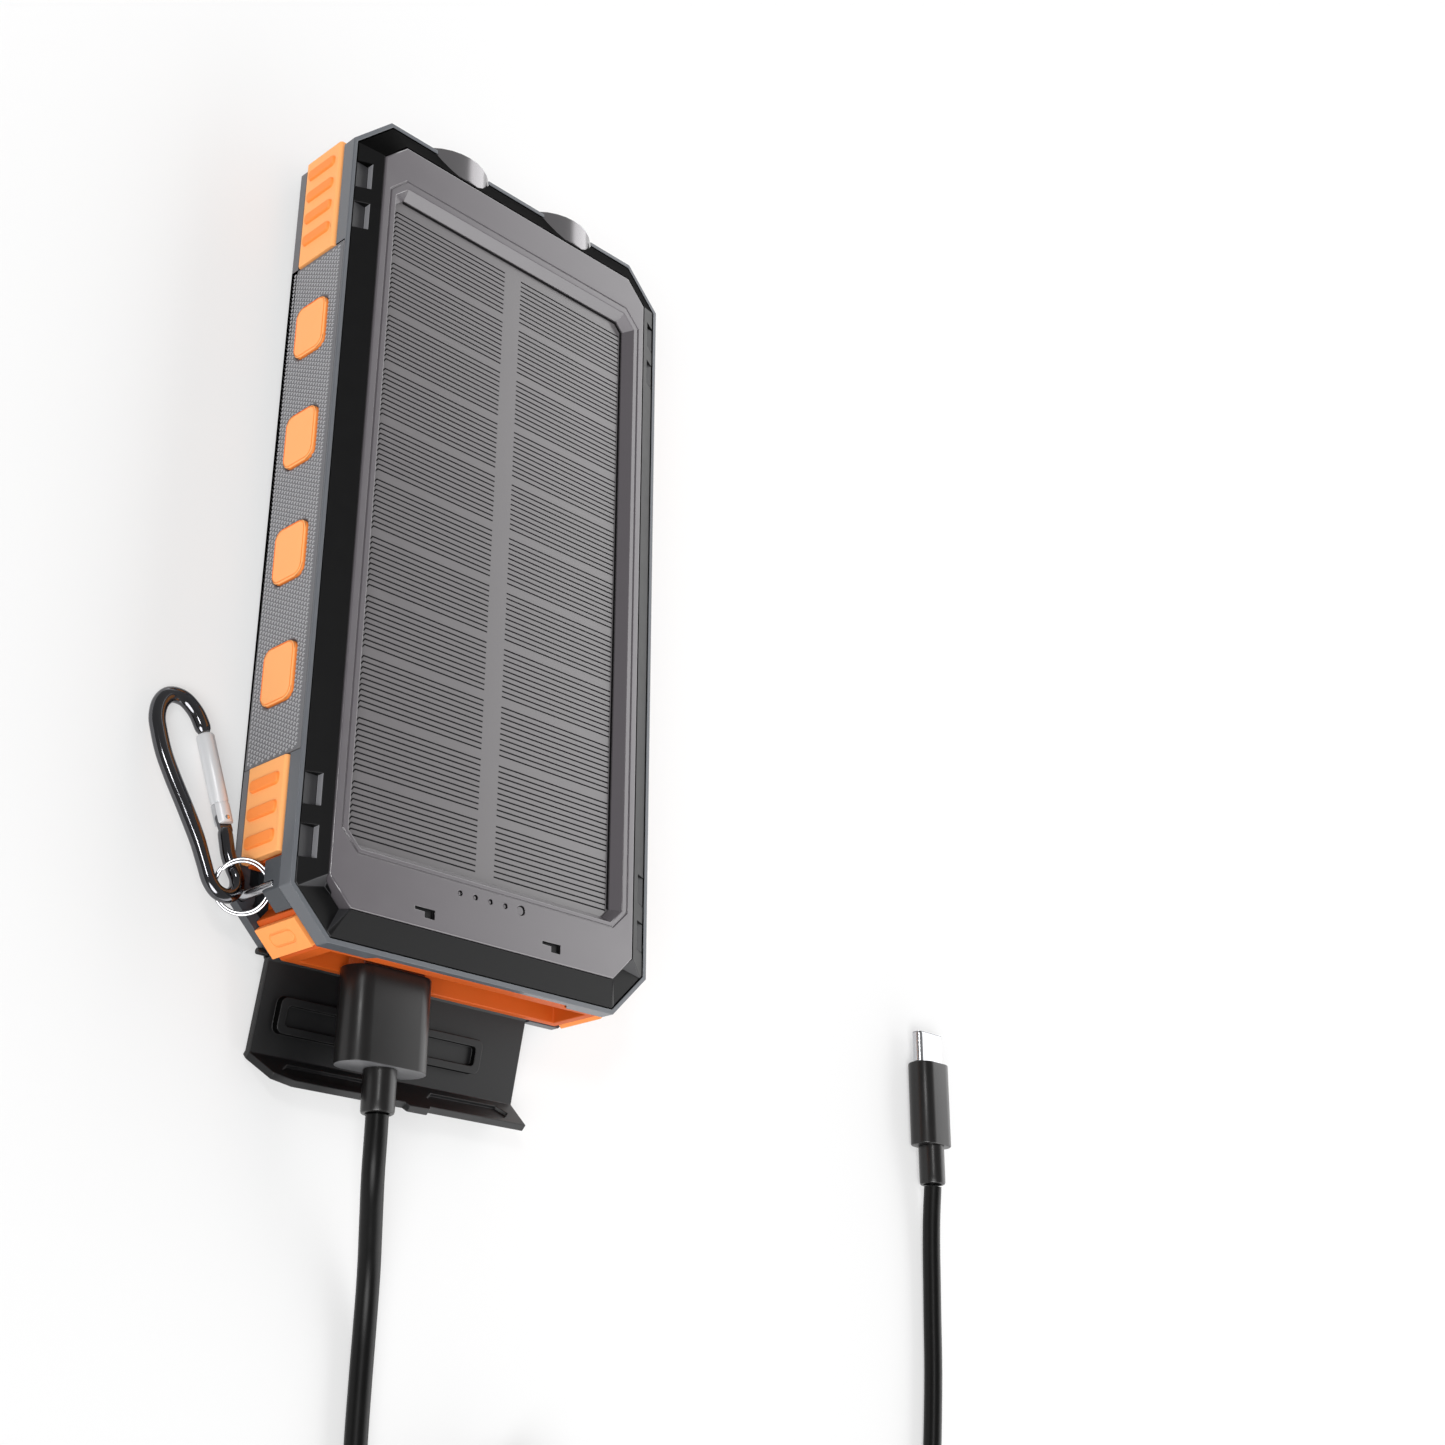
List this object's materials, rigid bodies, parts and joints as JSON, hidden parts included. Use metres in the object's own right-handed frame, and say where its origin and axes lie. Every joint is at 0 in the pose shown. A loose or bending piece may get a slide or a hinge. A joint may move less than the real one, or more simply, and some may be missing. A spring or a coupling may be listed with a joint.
{
  "type": "solar phone charger",
  "caption": "Rugged pocket power bank with a solar panel face, twin torches, rubber bumpers, port cover, carabiner loop and a plugged-in charging cable.",
  "frame": {"origin": "centre of the back face, which lies on the surface it rests on", "axes": "+Z out of the solar panel, +Y towards the torch end, +X to the right of the panel"},
  "size_m": [0.1973, 0.2868, 0.022],
  "materials": {
    "mauve_grey": "satin moulded plastic, slightly warm grey",
    "grey_shell": "satin blue-grey moulded plastic",
    "textured_grey": "matt grey with a fine raised diagonal weave",
    "black_rubber": "satin black rubber",
    "black_plastic": "satin black moulded plastic",
    "orange_light": "soft light orange rubber",
    "orange_deep": "deep orange soft-touch frame",
    "panel": "glossy solar cells under clear resin, fine dark finger lines",
    "dark_chrome": "dark polished metal",
    "bright_chrome": "bright polished metal",
    "mirror_chrome": "mirror-bright reflector",
    "steel": "bright nickel-plated steel",
    "cell_foil": "laminated foil pouch",
    "circuit_board": "green circuit board",
    "clear": "clear polished plastic",
    "cable_black": "smooth black cable jacket"
  },
  "bodies": {
    "charger": {"rear_shell": "grey_shell", "mid_frame": "orange_deep", "front_shell": "grey_shell", "front_band": "black_rubber", "front_bezel": "mauve_grey", "solar_panel": "panel", "indicator_light_guide": "clear", "side_strip_left": "textured_grey", "side_strip_right": "textured_grey", "button_switch": "black_plastic", "bumper_top_left": "orange_light", "bumper_top_right": "orange_light", "bumper_bottom_left": "orange_light", "bumper_bottom_right": "orange_light", "corner_plate_right": "orange_light", "corner_plate_left": "orange_light", "torch_housing_left": "grey_shell", "torch_housing_right": "grey_shell", "torch_reflector_left": "mirror_chrome", "torch_reflector_right": "mirror_chrome", "torch_lens_left": "clear", "torch_lens_right": "clear", "battery_cell_rear": "cell_foil", "battery_cell_front": "cell_foil", "main_board": "circuit_board", "usb_a_port_1": "steel", "usb_a_port_2": "steel", "usb_a_tongue_1": "black_plastic", "usb_a_tongue_2": "black_plastic", "usb_c_port": "steel", "port_cover_pin": "steel", "lanyard_bracket": "grey_shell", "lanyard_post": "steel", "usb_a_plug": "black_plastic", "usb_a_plug_shell": "steel", "usb_a_strain_relief": "black_plastic", "cable_lead": "cable_black", "cable_tail": "cable_black", "cable_coil": "cable_black", "cable_tie": "black_rubber", "usb_c_plug": "black_plastic", "usb_c_strain_relief": "black_plastic", "usb_c_plug_shell": "steel", "rear_screw_1": "steel", "grip_pad_left_1": "orange_light", "rear_screw_2": "steel", "grip_pad_left_2": "orange_light", "rear_screw_3": "steel", "grip_pad_left_3": "orange_light", "rear_screw_4": "steel", "grip_pad_left_4": "orange_light", "grip_pad_right_1": "orange_light", "grip_pad_right_2": "orange_light", "grip_pad_right_3": "orange_light"},
    "port_cover": {"port_cover": "black_rubber"},
    "split_ring": {"split_ring": "bright_chrome"},
    "carabiner": {"carabiner_body": "dark_chrome", "gate_pin": "bright_chrome"},
    "carabiner_gate": {"carabiner_gate": "bright_chrome"},
    "power_button": {"power_button": "orange_light"}
  },
  "joints": [
    {"name": "port_cover_hinge", "type": "hinge", "parent": "charger", "child": "port_cover", "pos_m": [-0.0038, -0.07555, 0.0047], "axis": [-1, 0, 0], "range_deg": [-1, 7]},
    {"name": "ring_swing", "type": "hinge", "parent": "charger", "child": "split_ring", "pos_m": [-0.0367, -0.068, 0.0084], "axis": [0, 0, 1], "range_deg": [-6, 30]},
    {"name": "carabiner_lift", "type": "hinge", "parent": "split_ring", "child": "carabiner", "pos_m": [-0.0419, -0.0661, 0.00642], "axis": [0.036, 0.8684, 0.4946], "range_deg": [0, 15]},
    {"name": "carabiner_gate_pivot", "type": "hinge", "parent": "carabiner", "child": "carabiner_gate", "pos_m": [-0.04109, -0.0565, 0.00531], "axis": [-0.0569, 0.176, 0.9827], "range_deg": [0, 18], "stiffness_Nm_per_rad": 0.01, "springref_deg": -11.46},
    {"name": "power_button_press", "type": "slide", "parent": "charger", "child": "power_button", "axis": [-1, 0, 0], "range_m": [0, 0.0004], "stiffness_N_per_m": 800}
  ]
}
